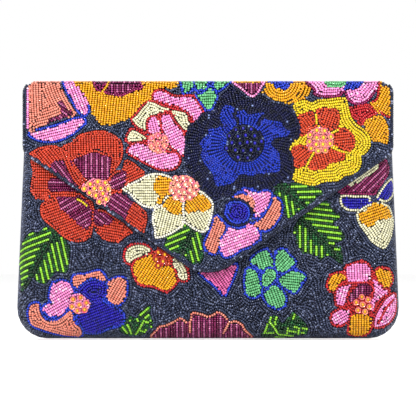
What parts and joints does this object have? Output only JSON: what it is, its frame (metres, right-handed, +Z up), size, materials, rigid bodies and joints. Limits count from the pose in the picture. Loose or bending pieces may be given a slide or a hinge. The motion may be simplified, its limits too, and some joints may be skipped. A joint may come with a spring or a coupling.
{
  "type": "clutch purse",
  "caption": "Flat rectangular evening clutch covered in seed-bead flower embroidery, with a pointed flap, magnetic snap, satin lining and inner slip pocket.",
  "frame": {"origin": "under the middle of the closed bag, on the line that its bottom edge rests on in the hand", "axes": "+Z up from the bottom edge to the fold, +X to the right as the bag's front is seen, -Y out of the front, +Y out of the flat back"},
  "size_m": [0.2542, 0.0228, 0.171],
  "materials": {
    "glass_beads": "glossy",
    "ground_cloth": "matte",
    "stiffening_board": "matte",
    "satin_lining": "satin",
    "binding_tape": "satin",
    "edge_cord": "satin",
    "sequins": "glossy",
    "snap_metal": "polished",
    "magnet": "satin"
  },
  "bodies": {
    "pouch": {"back_beads": "glass_beads", "back_cloth": "ground_cloth", "back_board": "stiffening_board", "back_lining": "satin_lining", "slip_pocket": "satin_lining", "slip_pocket_hem": "satin_lining", "front_beads": "glass_beads", "front_cloth": "ground_cloth", "front_board": "stiffening_board", "front_lining": "satin_lining", "edge_binding": "binding_tape", "mouth_binding": "binding_tape", "snap_socket": "snap_metal", "snap_magnet": "magnet", "snap_socket_washer": "snap_metal", "blue_flower_centre": "sequins", "cream_flower_centre": "sequins", "rose_flower_centre": "sequins"},
    "fold": {"fold_beads": "glass_beads", "fold_cloth": "ground_cloth", "fold_lining": "satin_lining"},
    "flap": {"flap_beads": "glass_beads", "flap_cloth": "ground_cloth", "flap_board": "stiffening_board", "flap_lining": "satin_lining", "flap_edge_cord": "edge_cord", "snap_stud": "snap_metal", "snap_stud_washer": "snap_metal", "poppy_centre": "sequins", "pale_flower_centre": "sequins", "navy_flower_centre": "sequins", "yellow_flower_centre": "sequins", "pink_flower_centre": "sequins"}
  },
  "joints": [
    {"name": "back_crease", "type": "hinge", "parent": "pouch", "child": "fold", "pos_m": [0, 0.0093, 0.16895], "axis": [-1, 0, 0], "range_deg": [0, 90]},
    {"name": "flap_crease", "type": "hinge", "parent": "fold", "child": "flap", "pos_m": [0, -0.0077, 0.16895], "axis": [-1, 0, 0], "range_deg": [0, 90]}
  ],
  "couplings": [
    {"joint": "flap_crease", "follows": "back_crease", "ratio": 1}
  ]
}
